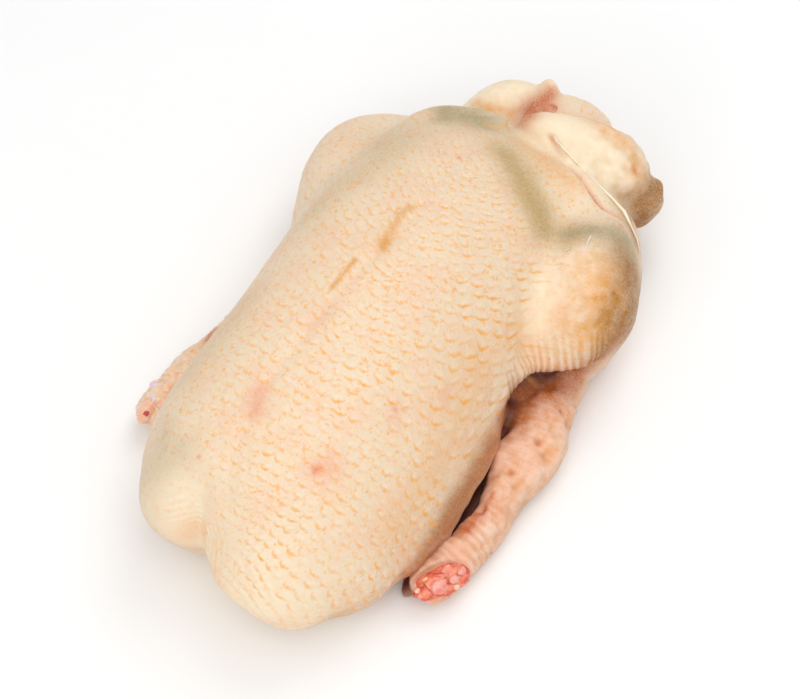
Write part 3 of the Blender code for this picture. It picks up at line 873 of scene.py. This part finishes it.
def rounded_lump(form, place, size, along=(1, 0, 0), up=(0, 0, 1), rough=0.0, seed=1):
    """A closed lump inside the form, with half widths in millimetres along, across and up."""
    made = bmesh.ops.create_icosphere(form, subdivisions=4, radius=1.0)["verts"]
    points = np.array([vertex.co for vertex in made])
    if rough:
        points *= (1 + rough * soft_noise(points + 10, 0.45, seed))[:, None]
    along = Vector(along).normalized()
    up = (Vector(up) - along * along.dot(Vector(up))).normalized()
    turn = Matrix((along, up.cross(along), up)).transposed()
    for vertex, point in zip(made, points):
        vertex.co = (Vector(place) + turn @ Vector(point * np.array(size))) * MM


def on_cut(along_mm, across_mm, out_mm):
    """A place on the right wing's cut."""
    along, across, facing = cut_axes()
    return tuple(CUT_PLACE + along * along_mm + across * across_mm + facing * out_mm)


def cut_lumps(lumps, rough, seed):
    """A bmesh with the lumps of one kind on the right wing's cut."""
    along, _, facing = cut_axes()
    form = bmesh.new()
    for index, (place, size) in enumerate(lumps):
        rounded_lump(form, on_cut(*place), size, along, facing, rough, seed + index)
    return form


# Lumps on the right wing's cut: the place along, across and out, then the half widths.
CUT_FLESH = (
    ((0, 0, -1.8), (13.4, 7.2, 2.8)), ((-2.5, 1.2, 0.6), (5.6, 4.4, 2.2)),
    ((6.5, 2.6, 0.4), (4.6, 3.2, 1.8)), ((8.4, -2.4, 0.4), (4.2, 3.0, 1.8)),
    ((-8.5, -1.4, 0.4), (4.0, 3.6, 1.8)), ((1.5, -4.2, 0.4), (4.4, 2.6, 1.7)),
)
CUT_GRISTLE = (
    ((-1.5, -1.2, 1.5), (4.4, 3.8, 1.9)), ((6.2, -1.0, 1.3), (2.6, 2.2, 1.5)),
    ((10.4, 1.0, 0.8), (2.4, 2.2, 1.4)), ((5.0, 4.4, 0.9), (2.8, 1.8, 1.3)),
)
CUT_FAT = (
    ((-11.4, 1.0, 0.8), (1.5, 1.2, 1.1)), ((-5.6, 4.2, 1.0), (2.0, 1.0, 1.0)),
    ((5.4, -4.6, 0.9), (2.0, 1.4, 1.0)),
)


class DUCK_OT_wing_ends(bpy.types.Operator):
    """Flesh, bones and gristle that show where the wing tips were cut off"""
    bl_idname = "duck.wing_ends"
    bl_label = "Cut wing ends"

    def execute(self, context):
        looks = context.scene.duck_flesh
        flesh = wet_material("raw_flesh", looks.flesh, (0.86, 0.25, 0.13), 260.0, coat=0.7)
        gristle = wet_material("gristle", looks.gristle, (0.80, 0.24, 0.18), 240.0, coat=0.8)
        fat = wet_material("wing_fat", looks.fat, (0.84, 0.46, 0.30), 300.0, coat=0.6)
        marrow = wet_material("marrow", (0.50, 0.05, 0.03), (0.62, 0.12, 0.07), 500.0)
        along, _, facing = cut_axes()
        finished(new_piece("wing_flesh", cut_lumps(CUT_FLESH, 0.16, 50)), flesh)
        finished(new_piece("wing_gristle", cut_lumps(CUT_GRISTLE, 0.14, 70)), gristle)
        form = cut_lumps(CUT_FAT, 0.14, 80)
        rounded_lump(form, (-84.5, -95.5, 13.0), (4.8, 6.8, 6.4), rough=0.12, seed=4)
        rounded_lump(form, (-82.0, -82.5, 19.4), (3.6, 2.9, 2.2), (0.6, 0.8, 0.2), rough=0.1, seed=60)
        rounded_lump(form, (-80.5, -75.5, 20.0), (3.2, 2.6, 2.0), (0.6, 0.8, 0.2), rough=0.1, seed=61)
        rounded_lump(form, (-79.5, -90.5, 18.0), (2.4, 3.2, 2.0), rough=0.1, seed=65)
        finished(new_piece("wing_fat", form), fat)
        form = bmesh.new()
        knob = looks.knob_radius / MM
        rounded_lump(form, (-87.6, -84.2, 17.2), (knob, knob, knob), rough=0.05, seed=7)
        rounded_lump(form, (-84.6, -89.5, 18.8), (4.2, 1.1, 1.1), (-0.5, 0.85, 0), rough=0.1, seed=62)
        finished(new_piece("wing_bones", form),
                 wet_material("bone_end", looks.bone, (0.82, 0.55, 0.60), 260.0, coat=0.9, roughness=0.22))
        form = bmesh.new()
        rounded_lump(form, (-82.8, -98.8, 17.5), (1.7, 1.7, 1.4), rough=0.15, seed=63)
        rounded_lump(form, on_cut(-5.4, 3.0, 1.6), (1.4, 0.7, 0.7), along, facing, 0.1, 64)
        finished(new_piece("wing_marrow", form), marrow)
        return {"FINISHED"}


class DUCK_OT_vent_flesh(bpy.types.Operator):
    """Red-brown flesh between the drumsticks and under the vent skin"""
    bl_idname = "duck.vent_flesh"
    bl_label = "Vent flesh"

    def execute(self, context):
        form = bmesh.new()
        rounded_lump(form, (-10.5, 132.0, 48.2), (6.0, 13.0, 3.8), (0.1, 1, -0.12), (0, 0.12, 1), 0.05, 8)
        rounded_lump(form, (-6.0, 142.0, 46.4), (7.0, 6.0, 3.4), rough=0.05, seed=9)
        finished(new_piece("vent_flesh", form),
                 wet_material("vent_flesh", (0.56, 0.18, 0.08), (0.66, 0.27, 0.14), 160.0, roughness=0.36))
        return {"FINISHED"}


SKIN_EDGE = (
    (11, 116, 67), (14.3, 114, 66.5), (26.6, 111, 62.6), (36, 107.5, 62.5), (45, 105, 61),
    (53, 103, 59.5), (60.5, 100.5, 58), (68, 94.5, 58.2), (74, 90, 57), (78, 86, 54),
)
EDGE_WIDTHS = (0.3, 0.5, 0.55, 0.5, 0.55, 0.8, 1.1, 0.5, 0.3, 0.25)
EDGE_HEIGHTS = (0.3, 0.5, 0.55, 0.5, 0.5, 0.7, 0.8, 0.4, 0.3, 0.25)


def strip_along(form, path, widths, heights, sides=8):
    """A thin closed band along a path of places, in millimetres."""
    path = [Vector(point) for point in path]
    rings = []
    for index, point in enumerate(path):
        ahead = (path[min(index + 1, len(path) - 1)] - path[max(index - 1, 0)]).normalized()
        across = ahead.cross(Vector((0, 0, 1))).normalized()
        upward = across.cross(ahead)
        ring = bmesh.ops.create_circle(form, segments=sides, radius=1.0,
                                       cap_ends=index in (0, len(path) - 1))
        for vertex in ring["verts"]:
            x, y = vertex.co.x, vertex.co.y
            vertex.co = (point + across * x * widths[index] + upward * y * heights[index]) * MM
        rings.append({edge for vertex in ring["verts"] for edge in vertex.link_edges
                      if edge.other_vert(vertex) in ring["verts"]})
    for first, second in zip(rings, rings[1:]):
        bmesh.ops.bridge_loops(form, edges=list(first | second))
    bmesh.ops.recalc_face_normals(form, faces=form.faces)


class DUCK_OT_skin_edge(bpy.types.Operator):
    """The thin shiny edge of skin that runs from the vent under the drumstick to the knee"""
    bl_idname = "duck.skin_edge"
    bl_label = "Skin edge"

    def execute(self, context):
        form = bmesh.new()
        strip_along(form, SKIN_EDGE, EDGE_WIDTHS, EDGE_HEIGHTS)
        # The near-white colour is partly a painted highlight along the fold's thin edge.
        finished(new_piece("skin_edge", form),
                 wet_material("skin_edge", (0.93, 0.74, 0.52), (0.97, 0.88, 0.70), 200.0, roughness=0.25))
        return {"FINISHED"}


# The quills: where each is rooted, and the way it leans.
QUILLS = (
    ((61, 62, 74.6), (-0.6, 5.5, 1.6)), ((53, 54, 71.4), (1.8, 3.6, 1.4)),
    ((55.6, 45.5, 70.6), (0.8, 2.4, 1.2)),
)
QUILL_STEPS = (0, 0.25, 0.5, 0.75, 1)
QUILL_TAPER = (1, 1, 0.9, 0.7, 0.3)


class DUCK_OT_quills(bpy.types.Operator):
    """Short pale hair quills left in the skin of the thigh"""
    bl_idname = "duck.quills"
    bl_label = "Hair quills"

    def execute(self, context):
        looks = context.scene.duck_flesh
        form = bmesh.new()
        thick = looks.quill_radius / MM
        for place, lean in QUILLS:
            root = Vector(place)
            stem = Vector(lean)
            path = [root + stem * share + Vector((0, 0, 1.0)) * math.sin(share * math.pi)
                    for share in QUILL_STEPS]
            sizes = [thick * size for size in QUILL_TAPER]
            strip_along(form, path, sizes, sizes, sides=6)
        finished(new_piece("hair_quills", form),
                 wet_material("quill", looks.quill, (0.80, 0.72, 0.55), 400.0, roughness=0.3, scatter=0.0))
        return {"FINISHED"}


# The soft lamps: where each stands and how wide it is, in metres.
LAMPS = {
    "top": ((0.45, -0.48, 1.45), 1.4),
    "front": ((0.16, -1.37, 0.81), 1.0),
    "rear": ((0.0, 0.81, 1.38), 1.0),
}


class DUCK_OT_studio(bpy.types.Operator):
    """Pale floor, soft lights and the camera"""
    bl_idname = "duck.studio"
    bl_label = "Studio"

    def execute(self, context):
        looks = context.scene.duck_studio
        scene = context.scene
        form = bmesh.new()
        bmesh.ops.create_grid(form, x_segments=1, y_segments=1, size=4.0)
        floor = new_piece("studio_floor", form)
        material, tree, shader = new_material("studio_floor", Roughness=0.9)
        place = node(tree, "ShaderNodeTexCoord").outputs["Object"]
        cloud = node(tree, "ShaderNodeTexNoise", {"Vector": place, "Scale": 6.0})
        share = fade(tree, cloud.outputs["Fac"], 0.3, 0.7)
        tree.links.new(blended(tree, share, looks.floor, (0.92, 0.92, 0.92)), shader.inputs["Base Color"])
        floor.data.materials.append(material)

        world = bpy.data.worlds.new("studio_room")
        world.use_nodes = True
        world.node_tree.nodes["Background"].inputs["Color"].default_value = (1, 1, 1, 1)
        world.node_tree.nodes["Background"].inputs["Strength"].default_value = looks.sky
        scene.world = world
        target = Vector(looks.target)
        powers = {"top": looks.top_power, "front": looks.front_power, "rear": looks.rear_power}
        for name, (place, size) in LAMPS.items():
            lamp = bpy.data.lights.new(name, "AREA")
            lamp.size = size
            lamp.energy = powers[name]
            light = bpy.data.objects.new(name, lamp)
            light.location = place
            light.rotation_euler = (target - Vector(place)).to_track_quat("-Z", "Y").to_euler()
            scene.collection.objects.link(light)

        a, e = looks.azimuth, looks.elevation
        back = Vector((math.sin(a) * math.cos(e), -math.cos(a) * math.cos(e), math.sin(e)))
        right = Vector((math.cos(a), math.sin(a), 0))
        upward = back.cross(right)
        lens = bpy.data.cameras.new("camera")
        lens.lens = looks.lens
        lens.sensor_width = 36.0
        lens.clip_start = 0.01
        camera = bpy.data.objects.new("camera", lens)
        turned = Matrix((right, upward, back)).transposed().to_4x4()
        turned.translation = target + back * looks.distance
        camera.matrix_world = turned
        scene.collection.objects.link(camera)
        scene.camera = camera
        scene.view_settings.view_transform = "Standard"
        scene.view_settings.look = "None"
        return {"FINISHED"}


OPERATORS = (DUCK_OT_carcass, DUCK_OT_wing_ends, DUCK_OT_vent_flesh, DUCK_OT_skin_edge, DUCK_OT_quills,
             DUCK_OT_studio)
LOOKS = {"duck_skin": SkinLooks, "duck_flesh": FleshLooks, "duck_studio": StudioLooks}


class DUCK_PT_build(bpy.types.Panel):
    """Sizes, colours and the steps that build the duck"""
    bl_idname = "DUCK_PT_build"
    bl_label = "Oven-ready duck"
    bl_space_type = "VIEW_3D"
    bl_region_type = "UI"
    bl_category = "Duck"

    def draw(self, context):
        for group in LOOKS:
            box = self.layout.box()
            looks = getattr(context.scene, group)
            for name in looks.__annotations__:
                box.prop(looks, name)
        for operator in OPERATORS:
            self.layout.operator(operator.bl_idname)


def register():
    for kind in (*LOOKS.values(), *OPERATORS, DUCK_PT_build):
        bpy.utils.register_class(kind)
    for name, kind in LOOKS.items():
        setattr(bpy.types.Scene, name, PointerProperty(type=kind))


def unregister():
    for name in LOOKS:
        delattr(bpy.types.Scene, name)
    for kind in (DUCK_PT_build, *reversed(OPERATORS), *reversed(tuple(LOOKS.values()))):
        bpy.utils.unregister_class(kind)


def main():
    register()
    for step in ("carcass", "wing_ends", "vent_flesh", "skin_edge", "quills", "studio"):
        getattr(bpy.ops.duck, step)()


if __name__ == "__main__":
    main()
